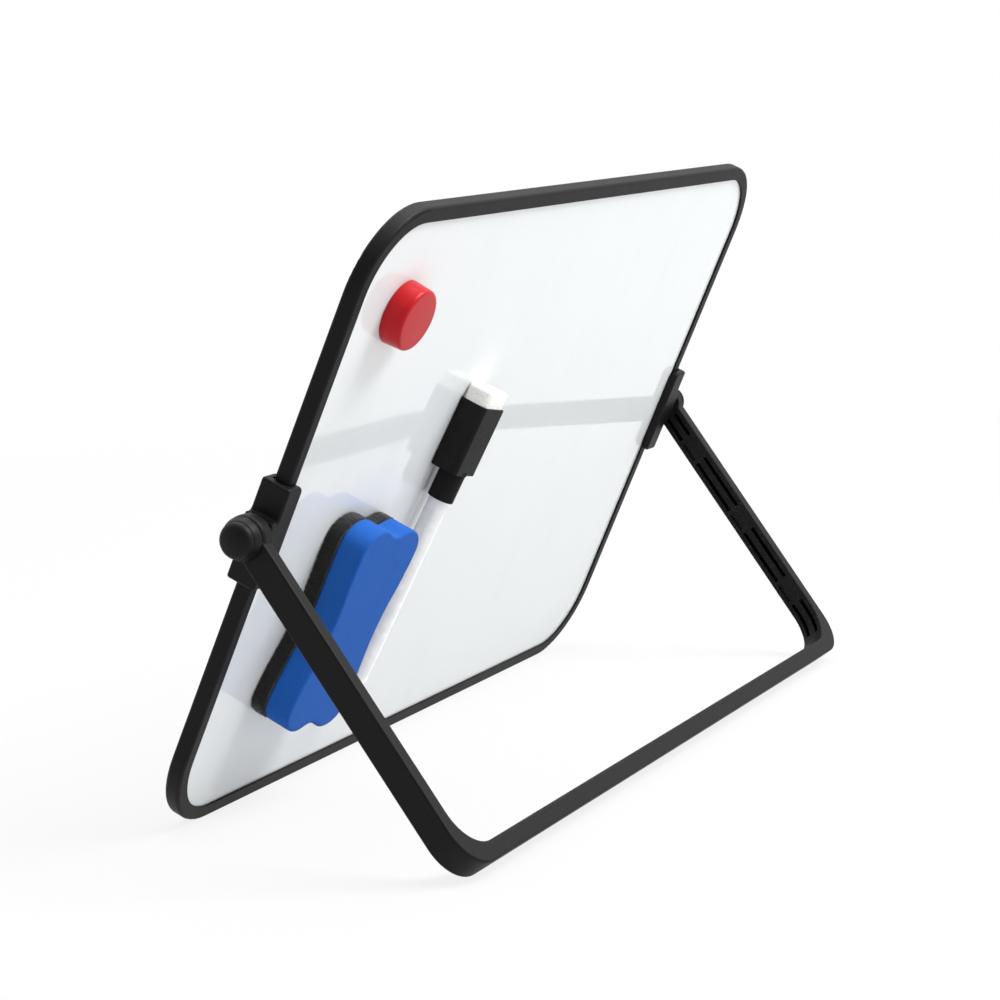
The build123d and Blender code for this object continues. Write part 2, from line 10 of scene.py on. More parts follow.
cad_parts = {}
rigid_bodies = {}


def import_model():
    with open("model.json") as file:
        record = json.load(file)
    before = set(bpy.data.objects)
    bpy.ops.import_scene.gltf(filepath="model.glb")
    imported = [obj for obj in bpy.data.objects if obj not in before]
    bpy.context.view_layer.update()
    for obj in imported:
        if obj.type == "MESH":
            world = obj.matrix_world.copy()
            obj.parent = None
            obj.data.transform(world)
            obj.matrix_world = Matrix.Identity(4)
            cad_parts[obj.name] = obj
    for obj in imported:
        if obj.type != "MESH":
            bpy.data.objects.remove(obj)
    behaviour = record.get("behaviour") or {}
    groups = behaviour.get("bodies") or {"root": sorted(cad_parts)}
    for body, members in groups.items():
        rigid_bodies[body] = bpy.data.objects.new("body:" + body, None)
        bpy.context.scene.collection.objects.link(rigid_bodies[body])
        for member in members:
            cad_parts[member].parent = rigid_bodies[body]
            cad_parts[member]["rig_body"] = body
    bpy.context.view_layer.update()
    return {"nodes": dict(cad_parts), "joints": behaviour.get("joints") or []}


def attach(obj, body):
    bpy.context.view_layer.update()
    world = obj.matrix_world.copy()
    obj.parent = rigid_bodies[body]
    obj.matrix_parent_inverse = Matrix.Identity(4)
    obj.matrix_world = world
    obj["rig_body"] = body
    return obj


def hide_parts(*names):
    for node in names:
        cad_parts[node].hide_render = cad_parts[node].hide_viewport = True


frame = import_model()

bl_info = {
    "name": "Desk Whiteboard Easel",
    "version": (1, 0, 0),
    "blender": (4, 5, 0),
    "location": "3D View > Sidebar > Easel",
    "description": "Dresses a desk whiteboard easel with its finishes, soft pieces and studio",
    "category": "Object",
}

MM = 0.001
JOINTS = {joint["name"]: joint for joint in frame["joints"]}


# ---------------------------------------------------------------- places taken from the frame
def axes(origin, along, across, out):
    """A set of axes as a matrix: x along, y across, z out."""
    turn = Matrix((along, across, out)).transposed().to_4x4()
    return Matrix.Translation(origin) @ turn


def extent(node, place):
    """Lowest and highest corner of a CAD node, measured in a set of axes."""
    inward = place.inverted()
    points = [inward @ vertex.co for vertex in frame["nodes"][node].data.vertices]
    return [Vector([end(point[i] for point in points) for i in range(3)]) for end in (min, max)]


def seat(node, place):
    """The axes moved to the middle of a node's underside, and the node's size in them."""
    low, high = extent(node, place)
    middle = (low + high) / 2
    return place @ Matrix.Translation((middle.x, middle.y, low.z)), high - low


RIGHT = Vector((1, 0, 0))
PIVOT = Vector(JOINTS["stand_hinge"]["pos_m"])
FACE_NORMAL = Vector(JOINTS["magnet_pull"]["axis"])
MARKER_UP = -Vector(JOINTS["marker_uncap"]["axis"])
BOARD = axes(PIVOT, RIGHT, FACE_NORMAL.cross(RIGHT), FACE_NORMAL)
MARKER = axes(PIVOT, FACE_NORMAL.cross(MARKER_UP), FACE_NORMAL, MARKER_UP)


# ---------------------------------------------------------------- sizes and colours to change
def length(name, description, millimetres):
    """A length property, given in millimetres."""
    return FloatProperty(name=name, description=description, default=millimetres * MM,
                         unit="LENGTH", precision=5)


def colour(name, description, red, green, blue):
    """A colour property."""
    return FloatVectorProperty(name=name, description=description, default=(red, green, blue),
                               subtype="COLOR", size=3, min=0.0, max=1.0)


def position(name, description, point):
    """A position property, in metres."""
    return FloatVectorProperty(name=name, description=description, default=point,
                               subtype="TRANSLATION", size=3)


class EaselSizes(bpy.types.PropertyGroup):
    """Sizes of the pieces that are modelled here."""

    turn_steps: IntProperty(name="Turning steps", default=96,
                            description="Steps round a turned piece")
    flange_height: length("Flange height", "Height of a pivot cover's round flange", 2.9)
    flange_lip: length("Flange lip", "Rounding of the flange's edge by the arm's eye", 0.5)
    slope_height: length("Slope height", "Height of the flange's sloping part", 2.2)
    slope_inset: length("Slope inset", "How much narrower the slope's top is", 0.9)
    button_radius: length("Button radius", "Radius of a pivot cover's button", 5.7)
    button_edge: length("Button edge", "Rounding of the button's edge", 2.5)
    button_crown: length("Button crown", "Rise of the button's middle over its edge", 0.5)
    crease: length("Crease", "Depth of the line between the flange and the button", 0.08)
    cover_wall: length("Cover wall", "Wall of a pivot cover at its mouth", 1.1)
    magnet_edge: length("Magnet edge", "Rounding of the round magnet's face", 1.1)
    magnet_draft: length("Magnet draft", "How much narrower the magnet's face is", 0.4)
    magnet_foot: length("Magnet foot", "Rounding at the magnet's foot", 0.4)
    magnet_wall: length("Magnet wall", "Wall of the magnet's shell", 2.3)
    magnet_roof: length("Magnet roof", "Thickness of the magnet's shell at its face", 3.4)
    eraser_turn: FloatProperty(name="Eraser turn", default=math.radians(9.9), subtype="ANGLE",
                               description="Turn of the eraser on the board's face")
    lobe_height: length("Lobe height", "Widest place of the eraser from its middle", 27.2)
    lobe_spread: length("Lobe spread", "End bumps of the eraser from its middle line", 9.5)
    waist_inset: length("Waist inset", "How much narrower the eraser's waist is", 3.0)
    notch: length("Notch", "Depth of the notch between the end bumps", 2.2)
    curve_pull: FloatProperty(name="Curve pull", default=0.4, subtype="FACTOR",
                              description="Fullness of the eraser's curves between its points")
    foam_edge: length("Foam edge", "Rounding of the foam's edges", 0.6)
    foam_voxel: length("Foam grid", "Grid that the foam's surface is rebuilt on", 0.45)
    foam_wave: length("Foam wave", "Unevenness of the foam's cut surface", 0.28)
    foam_swell: length("Foam swell", "Size of the foam's uneven places", 14)
    felt_edge: length("Felt edge", "Rounding of the felt's edges", 0.9)
    felt_voxel: length("Felt grid", "Grid that the felt's surface is rebuilt on", 0.4)
    felt_wave: length("Felt wave", "Depth of the felt's rough surface", 0.35)
    felt_lump: length("Felt lump", "Size of the lumps in the eraser's felt", 1.4)
    felt_mat: length("Felt mat", "Size of the finer roughness of the eraser's felt", 0.5)
    felt_mat_wave: length("Felt mat wave", "Depth of the finer roughness", 0.21)
    eraser_fibres: IntProperty(name="Eraser fibres", default=5200,
                               description="Number of loose fibres on the eraser's felt")
    cap_fibres: IntProperty(name="Cap fibres", default=900,
                            description="Number of loose fibres on the cap's felt")
    fibre_length: length("Fibre length", "Length of a loose felt fibre", 0.8)
    fibre_radius: length("Fibre radius", "Radius of a felt fibre at its root", 0.035)
    head_length: length("Head length", "Length of the marker cap's flat-sided head", 24.1)
    head_edge: length("Head edge", "Rounding of the cap head's long edges", 1.2)
    collar_radius: length("Collar radius", "Radius of the cap's round collar", 4.5)
    collar_bore: length("Collar bore", "Bore of the cap's collar", 3.25)
    collar_bore_depth: length("Bore depth", "Depth of the cap's bore from its mouth", 26.4)
    cap_edge: length("Cap edge", "Small rounding of the cap's other edges", 0.35)
    cap_felt_corner: length("Cap felt corner", "Corner rounding of the cap's felt", 2.4)
    cap_felt_edge: length("Cap felt edge", "Rounding of the cap felt's end", 0.9)
    cap_felt_voxel: length("Cap felt grid", "Grid that the cap felt's surface is rebuilt on", 0.3)
    cap_felt_lump: length("Cap felt lump", "Size of the lumps in the cap's felt", 1.2)
    cap_felt_wave: length("Cap felt wave", "Depth of the cap felt's rough surface", 0.245)


class EaselColours(bpy.types.PropertyGroup):
    """Colours of the finishes."""

    frame_black: colour("Frame", "Black of the board's frame", 0.0062, 0.0062, 0.0065)
    stand_black: colour("Stand", "Black of the stand and clamps", 0.0068, 0.0068, 0.0070)
    cover_black: colour("Pivot covers", "Black of the pivot covers", 0.0070, 0.0070, 0.0073)
    enamel: colour("Enamel", "White of the writing faces", 0.80, 0.825, 0.835)
    red: colour("Magnet", "Red of the round magnet", 0.49, 0.010, 0.016)
    foam: colour("Foam", "Blue of the eraser's foam", 0.012, 0.092, 0.385)
    felt: colour("Felt", "Black of the eraser's felt", 0.012, 0.0125, 0.012)
    cap_felt: colour("Cap felt", "White of the marker cap's felt", 0.90, 0.895, 0.86)
    cap: colour("Marker cap", "Black of the marker's cap", 0.0140, 0.0140, 0.0142)
    barrel: colour("Barrel", "White of the marker's barrel", 0.95, 0.95, 0.94)
    zinc: colour("Zinc", "Plated steel of screws, nuts and washers", 0.62, 0.63, 0.65)
    ferrite: colour("Ferrite", "Grey of the magnets", 0.045, 0.043, 0.045)
    fibreboard: colour("Fibreboard", "Brown of the panel's core", 0.42, 0.31, 0.20)
    floor: colour("Floor", "Pale floor", 0.60, 0.60, 0.60)


class EaselStudio(bpy.types.PropertyGroup):
    """Camera, lamps and floor."""

    camera_place: position("Camera place", "Where the camera stands",
                           (-0.8152, -0.3921, 0.2318))
    camera_turn: FloatVectorProperty(name="Camera turn", subtype="EULER", size=3,
                                     description="How the camera is turned",
                                     default=[math.radians(angle)
                                              for angle in (80.735, 1.486, -64.060)])
    lens: FloatProperty(name="Lens", description="Focal length in millimetres", default=96.63)
    floor_size: FloatProperty(name="Floor size", default=8.0, unit="LENGTH",
                              description="Side of the square floor")
    shadow_share: FloatProperty(name="Shadow share", default=0.16, subtype="FACTOR",
                                description="How much of the floor's own light the eye sees")
    shadow_near: FloatProperty(name="Shadow near", default=0.35, unit="LENGTH",
                               description="Where the floor starts to turn plain white")
    shadow_far: FloatProperty(name="Shadow far", default=0.9, unit="LENGTH",
                              description="Where the floor is plain white")
    lamp_aim: position("Lamp aim", "The point that both lamps face", (0, 0, 0.08))
    key_place: position("Key place", "Where the overhead lamp hangs", (0.35, 0.25, 1.5))
    key_size: FloatProperty(name="Key size", description="Side of the overhead lamp",
                            default=1.3, unit="LENGTH")
    key_power: FloatProperty(name="Key power", description="Power of the overhead lamp",
                             default=12.0, unit="POWER")
    front_place: position("Front place", "Where the front lamp stands", (0.4, -1.0, 1.48))
    front_size: FloatProperty(name="Front size", description="Side of the front lamp",
                              default=1.0, unit="LENGTH")
    front_power: FloatProperty(name="Front power", description="Power of the front lamp",
                               default=44.0, unit="POWER")
    sky: FloatProperty(name="Sky", description="Strength of the surrounding light", default=0.45)
    dark_side: FloatProperty(name="Dark side", default=0.25,
                             description="Strength of the room seen in gloss behind the camera")
    dark_start: FloatProperty(name="Dark start", default=0.1,
                              description="Where gloss starts to darken: 0 beside, 1 at the camera")
    dark_full: FloatProperty(name="Dark full", default=0.9,
                             description="Where gloss is darkest: 0 beside, 1 at the camera")


def sizes():
    """The sizes in use."""
    return bpy.context.scene.easel_sizes


def colours():
    """The colours in use."""
    return bpy.context.scene.easel_colours


def studio():
    """The studio's settings in use."""
    return bpy.context.scene.easel_studio


# ---------------------------------------------------------------- finishes
class Value:
    """A node's output, used in sums as a number is."""

    def __init__(self, tree, socket):
        self.tree = tree
        self.socket = socket

    def __add__(self, other):
        return self.tree.calculate("ADD", self, other)

    def __rsub__(self, other):
        return self.tree.calculate("SUBTRACT", other, self)

    def __mul__(self, other):
        return self.tree.calculate("MULTIPLY", self, other)

    __radd__ = __add__
    __rmul__ = __mul__


class Tree:
    """A node tree, with one method that adds nodes."""

    def __init__(self, owner):
        owner.use_nodes = True
        self.nodes = owner.node_tree.nodes
        self.links = owner.node_tree.links
        self.nodes.clear()

    def add(self, kind, settings=None, sockets=None, output=0):
        """Adds a node: its settings first, then values or links on its sockets."""
        node = self.nodes.new(kind)
        for name, value in (settings or {}).items():
            setattr(node, name, value)
        for name, value in (sockets or {}).items():
            self.plug(node.inputs[name], value)
        return Value(self, node.outputs[output]) if node.outputs else node

    def plug(self, socket, value):
        """Links a value to a socket, or sets the socket to a plain number or colour."""
        if isinstance(value, Value):
            self.links.new(value.socket, socket)
        else:
            socket.default_value = value

    def calculate(self, operation, first, second):
        """One sum on two numbers or values."""
        return self.add("ShaderNodeMath", {"operation": operation}, {0: first, 1: second})

    def mix(self, factor, first, second):
        """Blend of two colours."""
        return self.add("ShaderNodeMix", {"data_type": "RGBA"},
                        {0: factor, 6: opaque(first), 7: opaque(second)}, output=2)


def opaque(value):
    """A colour with its fourth number, or a link as it is."""
    return value if isinstance(value, Value) else (*value[:3], 1)


class Finish(Tree):
    """A material with one main shader, patterned on the piece's own coordinates."""

    def __init__(self, name, colour, roughness, **constants):
        self.material = bpy.data.materials.new(name)
        super().__init__(self.material)
        self.shader = self.add("ShaderNodeBsdfPrincipled")
        self.output = self.add("ShaderNodeOutputMaterial", {}, {"Surface": self.shader})
        self.place = self.add("ShaderNodeTexCoord", output="Object")
        self.set("Base Color", opaque(colour))
        self.set("Roughness", roughness)
        for socket, value in constants.items():
            self.set(socket.replace("_", " ").title().replace("Ior", "IOR"), value)

    def set(self, socket, value):
        """Sets one of the shader's sockets."""
        self.plug(self.shader.socket.node.inputs[socket], value)

    def stretched(self, stretch):
        """The piece's coordinates, scaled by a different number each way."""
        return self.add("ShaderNodeMapping", {}, {"Vector": self.place, "Scale": stretch})

    def noise(self, size, detail=2.0, roughness=0.5, place=None):
        """Cloudy pattern from 0 to 1 with lumps of a size in metres."""
        return self.add("ShaderNodeTexNoise", {}, {
            "Vector": place or self.place, "Scale": 1 / size,
            "Detail": detail, "Roughness": roughness,
        })

    def cells(self, size):
        """Cell pattern: distance from each cell's middle."""
        return self.add("ShaderNodeTexVoronoi", {}, {"Vector": self.place, "Scale": 1 / size})

    def ramp(self, value, low, high):
        """A value stretched so that low becomes 0 and high becomes 1, and held there."""
        return self.add("ShaderNodeMapRange", {}, {
            "Value": value, "From Min": low, "From Max": high,
        })

    def bump(self, height, distance):
        """Raises the surface by a height pattern, distance metres deep."""
        self.set("Normal", self.add("ShaderNodeBump", {}, {
            "Height": height, "Distance": distance,
        }))


def tinted(colour, share):
    """A colour made lighter or darker by a share."""
    return [channel * share for channel in colour]


def satin_plastic(name, colour, roughness):
    """Moulded plastic with a fine even grain and faint cloudy sheen."""
    grain = 0.22 * MM
    finish = Finish(name, colour, roughness, specular_ior_level=0.15)
    clouds = finish.noise(9 * MM, detail=3.0)
    texture = finish.noise(grain, detail=1.0)
    pits = finish.cells(grain * 1.6)
    finish.set("Base Color", finish.mix(clouds, tinted(colour, 0.82), tinted(colour, 1.18)))
    finish.set("Roughness", roughness - 0.06 + 0.12 * clouds)
    finish.bump(texture * 0.6 + pits * 0.4, 0.012 * MM)
    return finish.material


def gloss_plastic(name, colour, roughness, level=0.5, **constants):
    """Smooth moulded plastic with faint flow ripples and handling marks."""
    finish = Finish(name, colour, roughness, specular_ior_level=level, **constants)
    smudge = finish.ramp(finish.noise(4 * MM, detail=4.0, roughness=0.6), 0.45, 0.75)
    ripple = finish.noise(5 * MM, detail=1.0)
    finish.set("Base Color", finish.mix(smudge, colour, tinted(colour, 1.12)))
    finish.set("Roughness", roughness + 0.10 * smudge)
    finish.bump(ripple, 0.02 * MM)
    return finish.material


def enamel(name, colour):
    """Dry-wipe enamel: near-mirror gloss, a faint orange peel and traces of wiping."""
    finish = Finish(name, colour, 0.04, specular_ior_level=0.5)
    wipes = finish.noise(16 * MM, detail=5.0, roughness=0.62,
                         place=finish.stretched((1.0, 0.35, 0.35)))
    trace = finish.ramp(wipes, 0.50, 0.78)
    finish.set("Base Color", finish.mix(trace, colour, tinted(colour, 0.975)))
    finish.set("Roughness", 0.035 + 0.05 * trace)
    finish.bump(finish.noise(6 * MM, detail=1.0), 0.004 * MM)
    return finish.material


def red_plastic(name, colour):
    """Red moulded plastic with a soft shine and a faint cloudy mottle."""
    finish = Finish(name, colour, 0.33, specular_ior_level=0.18)
    clouds = finish.noise(3 * MM, detail=3.0)
    grain = finish.noise(0.18 * MM, detail=1.0)
    finish.set("Base Color", finish.mix(clouds, tinted(colour, 0.92), tinted(colour, 1.06)))
    finish.set("Roughness", 0.28 + 0.10 * clouds)
    finish.bump(grain, 0.008 * MM)
    return finish.material


def closed_foam(name, colour):
    """Cut closed-cell foam: small cells, a dry surface and a soft mottle, with painted shade in the
    sunken cell middles and painted highlight on the cell edges.
    """
    finish = Finish(name, colour, 0.78, specular_ior_level=0.12, sheen_weight=0.03,
                    sheen_roughness=0.5)
    cells = finish.cells(0.34 * MM)
    fine = finish.cells(0.16 * MM)
    mottle = finish.noise(2.2 * MM, detail=4.0, roughness=0.6)
    shade = finish.mix(mottle, tinted(colour, 0.88), tinted(colour, 1.12))
    # Painted shade and highlight: each cell is darker in its middle, where the bump sinks, and
    # lighter towards its edges.
    painted_rim_highlight = finish.ramp(cells, 0.15, 0.75)
    finish.set("Base Color", finish.mix(painted_rim_highlight, shade, tinted(colour, 1.25)))
    finish.set("Roughness", 0.72 + 0.16 * mottle)
    finish.bump(cells * 0.65 + fine * 0.35, 0.05 * MM)
    return finish.material


def felt(name, colour, contrast=0.45):
    """Pressed felt: matted fibres running every way, with a soft sheen, and colour painted lighter
    on the raised fibres and tufts and darker between them, as painted highlight and shade.
    """
    finish = Finish(name, colour, 0.95, specular_ior_level=0.15, sheen_weight=0.35,
                    sheen_roughness=0.45)
    long = finish.noise(0.5 * MM, detail=4.0, roughness=0.7,
                        place=finish.stretched((0.35, 1.0, 1.0)))
    cross = finish.noise(0.5 * MM, detail=4.0, roughness=0.7,
                         place=finish.stretched((1.0, 0.4, 0.9)))
    tufts = finish.noise(1.6 * MM, detail=3.0)
    matted = long * 0.5 + cross * 0.5
    # Painted highlight and shade: the colour follows the bump, lighter where fibres and tufts stand
    # up and darker in the hollows between them.
    fibres = finish.ramp(matted, 0.38, 0.62)
    light = finish.mix(fibres, tinted(colour, 1 - contrast), tinted(colour, 1 + contrast))
    finish.set("Base Color", finish.mix(tufts * 0.4, light, tinted(colour, 1 + contrast)))
    finish.bump(matted * 0.7 + tufts * 0.3, 0.22 * MM)
    return finish.material


def plated_steel(name, colour):
    """Bright zinc plate with fine turning lines."""
    finish = Finish(name, colour, 0.3, metallic=1.0)
    lines = finish.noise(0.25 * MM, detail=2.0, place=finish.stretched((1.0, 0.12, 0.12)))
    finish.set("Roughness", 0.22 + 0.2 * lines)
    finish.bump(lines, 0.006 * MM)
    return finish.material


def ferrite(name, colour):
    """Sintered magnet: matt grey with small pits, painted darker in the pits as painted shade."""
    finish = Finish(name, colour, 0.7, specular_ior_level=0.4)
    pits = finish.ramp(finish.noise(0.6 * MM, detail=5.0), 0.35, 0.6)
    # Painted shade: the colour is darker where the bump sinks into pits.
    finish.set("Base Color", finish.mix(pits, tinted(colour, 0.6), tinted(colour, 1.2)))
    finish.bump(pits, 0.04 * MM)
    return finish.material


def fibreboard(name, colour):
    """Pressed wood fibre, flecked light and dark."""
    finish = Finish(name, colour, 0.9)
    flecks = finish.noise(0.8 * MM, detail=6.0, roughness=0.7,
                          place=finish.stretched((0.3, 1.0, 1.0)))
    finish.set("Base Color", finish.mix(flecks, tinted(colour, 0.6), tinted(colour, 1.35)))
    finish.bump(flecks, 0.08 * MM)
    return finish.material


# ---------------------------------------------------------------- modelling steps
def drop_selection():
    """Leaves edit mode and selects nothing."""
    if bpy.context.object and bpy.context.object.mode != "OBJECT":
        bpy.ops.object.mode_set(mode="OBJECT")
    bpy.ops.object.select_all(action="DESELECT")


def named(name):
    """The primitive that was just added, with its name."""
    piece = bpy.context.object
    piece.name = name
    piece.data.name = name
    return piece


def pick(piece, kind, test):
    """In edit mode, selects only the vertices, edges or faces that pass a test."""
    bpy.ops.mesh.select_mode(type=kind)
    bpy.ops.mesh.select_all(action="DESELECT")
    mesh = bmesh.from_edit_mesh(piece.data)
    for item in {"VERT": mesh.verts, "EDGE": mesh.edges, "FACE": mesh.faces}[kind]:
        if test(item):
            item.select_set(True)
    bmesh.update_edit_mesh(piece.data)


def middle(edge):
    """Middle point of an edge."""
    return (edge.verts[0].co + edge.verts[1].co) / 2


def direction(edge):
    """Unit vector along an edge."""
    return (edge.verts[1].co - edge.verts[0].co).normalized()


def modify(piece, kind, **settings):
    """Adds a modifier with its settings and applies it."""
    modifier = piece.modifiers.new(kind.title(), kind)
    for name, value in settings.items():
        setattr(modifier, name, value)
    bpy.ops.object.modifier_apply(modifier=modifier.name)


def smooth(angle_deg):
    """Smooth shading, with edges sharper than an angle left crisp."""
    bpy.ops.object.shade_smooth_by_angle(angle=math.radians(angle_deg))


def settle(piece, place, node, material):
    """Puts a piece at its place, with the place in its mesh, to stand for a CAD node."""
    drop_selection()
    bpy.context.view_layer.objects.active = piece
    piece.select_set(True)
    piece.matrix_world = place
    bpy.ops.object.transform_apply(location=True, rotation=True, scale=True)
    piece.data.materials.clear()
    piece.data.materials.append(material)
    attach(piece, frame["nodes"][node]["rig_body"])
    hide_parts(node)
    drop_selection()
    return piece


def dress(material, *nodes):
    """Gives CAD nodes a finish."""
    for node in nodes:
        mesh = frame["nodes"][node].data
        mesh.materials.clear()
        mesh.materials.append(material)


def arc(centre, radius, start_deg, end_deg, steps):
    """Points along an arc of an outline, angles from the outward radius direction."""
    for step in range(steps + 1):
        angle = math.radians(start_deg + (end_deg - start_deg) * step / steps)
        yield (centre[0] + radius * math.cos(angle), centre[1] + radius * math.sin(angle))


def turned(name, outline):
    """A solid of revolution: a point is drawn out along an outline, which is then spun."""
    drop_selection()
    bpy.ops.mesh.primitive_plane_add(size=MM)
    piece = named(name)
    bpy.ops.object.mode_set(mode="EDIT")
    bpy.ops.mesh.select_mode(type="VERT")
    bpy.ops.mesh.merge(type="CENTER")
    bpy.ops.transform.translate(value=(outline[0][0], 0, outline[0][1]))
    for (radius, height), (next_radius, next_height) in zip(outline, outline[1:]):
        step = (next_radius - radius, 0, next_height - height)
        bpy.ops.mesh.extrude_region_move(TRANSFORM_OT_translate={"value": step})
    bpy.ops.mesh.select_all(action="SELECT")
    bpy.ops.mesh.spin(steps=sizes().turn_steps, angle=math.tau, center=(0, 0, 0),
                      axis=(0, 0, 1))
    bpy.ops.mesh.select_all(action="SELECT")
    bpy.ops.mesh.remove_doubles(threshold=0.001 * MM)
    bpy.ops.mesh.normals_make_consistent(inside=False)
    bpy.ops.object.mode_set(mode="OBJECT")
    return piece


def roughen(piece, name, size, depth):
    """Moves a piece's surface in and out by a cloudy pattern, then applies it."""
    pattern = bpy.data.textures.new(name, "CLOUDS")
    pattern.noise_scale = size
    modify(piece, "DISPLACE", texture=pattern, texture_coords="LOCAL", strength=depth,
           mid_level=0.5)


def add_fibres(piece, count, seed):
    """Joins short curved fibres to a felt piece, rooted all over its surface."""
    outward, stray, curliness, shortest = 0.55, 0.75, 0.35, 0.35
    rings = ((0.0, 1.0), (0.5, 0.8))
    drawn = random.Random(seed)
    values = sizes()
    mesh = piece.data
    faces = drawn.choices(mesh.polygons, weights=[face.area for face in mesh.polygons], k=count)
    points = []
    sides = []
    for face in faces:
        lean = Vector([drawn.uniform(-1, 1) for _ in range(3)])
        heading = (face.normal * outward + lean * stray).normalized()
        curl = Vector([drawn.uniform(-1, 1) for _ in range(3)]) * curliness
        reach = values.fibre_length * drawn.uniform(shortest, 1.0)
        side = heading.orthogonal().normalized()
        other = heading.cross(side)
        first = len(points)
        for level, share in rings:
            spine = face.center + (heading + curl * level) * (reach * level)
            for corner in range(3):
                angle = math.tau * corner / 3
                across = side * math.cos(angle) + other * math.sin(angle)
                points.append(spine + across * (values.fibre_radius * share))
        points.append(face.center + (heading + curl) * reach)
        for corner in range(3):
            after = (corner + 1) % 3
            low, high = first + corner, first + after
            sides.append((low, high, high + 3, low + 3))
            sides.append((low + 3, high + 3, first + 6))
        sides.append((first + 2, first + 1, first))
    fibres = bpy.data.meshes.new(f"{piece.name}_fibres")
    fibres.from_pydata(points, [], sides)
    loose = bpy.data.objects.new(f"{piece.name}_fibres", fibres)
    bpy.context.scene.collection.objects.link(loose)
    drop_selection()
    loose.select_set(True)
    piece.select_set(True)
    bpy.context.view_layer.objects.active = piece
    bpy.ops.object.join()


# ---------------------------------------------------------------- pieces
def pivot_cover(side):
    """Cover of a pivot: sloping flange, crease and crowned button, hollow at its mouth."""
    values = sizes()
    outward = RIGHT if side == "right" else -RIGHT
    up = BOARD.col[1].to_3d()
    place, size = seat(f"{side}_pivot_cap", axes(PIVOT, up, outward.cross(up), outward))
    radius = size.x / 2
    flange = values.flange_height
    button, edge = values.button_radius, values.button_edge
    lip, crease = values.flange_lip, values.crease
    inside = radius - values.cover_wall
    top = radius - values.slope_inset
    outline = [(0, values.cover_wall), (inside, values.cover_wall), (inside, 0)]
    outline += arc((radius - lip, lip), lip, -90, 0, 4)
    outline += [(radius, flange - values.slope_height), (top + crease, flange - crease)]
    outline += [(top - crease, flange), (button, flange - crease), (button, flange + crease)]
    shoulder = size.z - values.button_crown
    outline += arc((button - edge, shoulder - edge), edge, 0, 84, 10)
    crown_radius, crown_foot = outline[-1]
    crown_steps = 8
    for step in range(1, crown_steps + 1):
        reach = 1 - step / crown_steps
        height = size.z - (size.z - crown_foot) * reach ** 2
        outline.append((crown_radius * reach, height))
    piece = turned(f"{side}_pivot_cover", outline)
    smooth(40)
    return settle(piece, place, f"{side}_pivot_cap",
                  satin_plastic(f"{side}_cover_black", colours().cover_black, 0.48))


def round_magnet():
    """Red shell of the round magnet, with a soft edge, a slight draft and its recess."""
    values = sizes()
    place, size = seat("magnet_shell", BOARD)
    foot, edge = values.magnet_foot, values.magnet_edge
    radius = size.x / 2
    face = radius - values.magnet_draft
    inside = radius - values.magnet_wall
    roof = size.z - values.magnet_roof
    outline = [(0, roof), (inside, roof), (inside, 0)]
    outline += arc((radius - foot, foot), foot, -90, 0, 4)
    outline += arc((face - edge, size.z - edge), edge, 0, 90, 10)
    outline += [(0, size.z)]
    piece = turned("round_magnet", outline)
    smooth(40)
    return settle(piece, place, "magnet_shell", red_plastic("magnet_red", colours().red))


def eraser_outline(name, half_width, half_length, thickness, edge):
    """Flat waisted curve with two bumps at each end, thickened and rounded."""
    values = sizes()
    waist = (half_width - values.waist_inset, 0)
    side = (half_width, values.lobe_height)
    lobe = (values.lobe_spread, half_length)
    notch = (0, half_length - values.notch)
    upright, level = (0, 1), (-1, 0)
    quarter = [(waist, upright), (side, upright), (lobe, level), (notch, level)]
    points = []
    for flip_x, flip_y in ((1, 1), (-1, 1), (-1, -1), (1, -1)):
        sense = flip_x * flip_y
        section = [(Vector((x * flip_x, y * flip_y, 0)),
                    Vector((along_x * flip_x, along_y * flip_y, 0)) * sense)
                   for (x, y), (along_x, along_y) in quarter]
        points += section[::sense][:-1]
    drop_selection()
    bpy.ops.curve.primitive_bezier_circle_add(radius=half_width)
    piece = named(name)
    curve = piece.data
    curve.splines.clear()
    spline = curve.splines.new("BEZIER")
    spline.bezier_points.add(len(points) - 1)
    spline.use_cyclic_u = True
    for index, (point, (here, way)) in enumerate(zip(spline.bezier_points, points)):
        before, _ = points[index - 1]
        after, _ = points[(index + 1) % len(points)]
        point.co = here
        point.handle_left_type = point.handle_right_type = "FREE"
        point.handle_left = here - way * ((here - before).length * values.curve_pull)
        point.handle_right = here + way * ((after - here).length * values.curve_pull)
    curve.dimensions = "2D"
    curve.fill_mode = "BOTH"
    curve.resolution_u = 24
    curve.extrude = thickness / 2 - edge
    curve.bevel_depth = edge
    curve.bevel_resolution = 5
    curve.offset = -edge
    bpy.ops.object.convert(target="MESH")
    piece = bpy.context.object
    piece.data.transform(Matrix.Translation((0, 0, thickness / 2)))
    return piece


def eraser_place(node):
    """Axes on the eraser, at the middle of a node's underside, and the node's size."""
    return seat(node, BOARD @ Matrix.Rotation(-sizes().eraser_turn, 4, "Z"))


def eraser_foam():
    """Blue foam grip: soft edges and the uneven surface of cut foam."""
    values = sizes()
    place, size = eraser_place("eraser_foam")
    piece = eraser_outline("eraser_foam_grip", size.x / 2, size.y / 2, size.z, values.foam_edge)
    modify(piece, "REMESH", mode="VOXEL", voxel_size=values.foam_voxel)
    roughen(piece, "foam_swell", values.foam_swell, values.foam_wave)
    modify(piece, "SMOOTH", factor=0.5, iterations=1)
    bpy.ops.object.shade_smooth()
    settle(piece, place, "eraser_foam", closed_foam("foam_blue", colours().foam))
    return piece


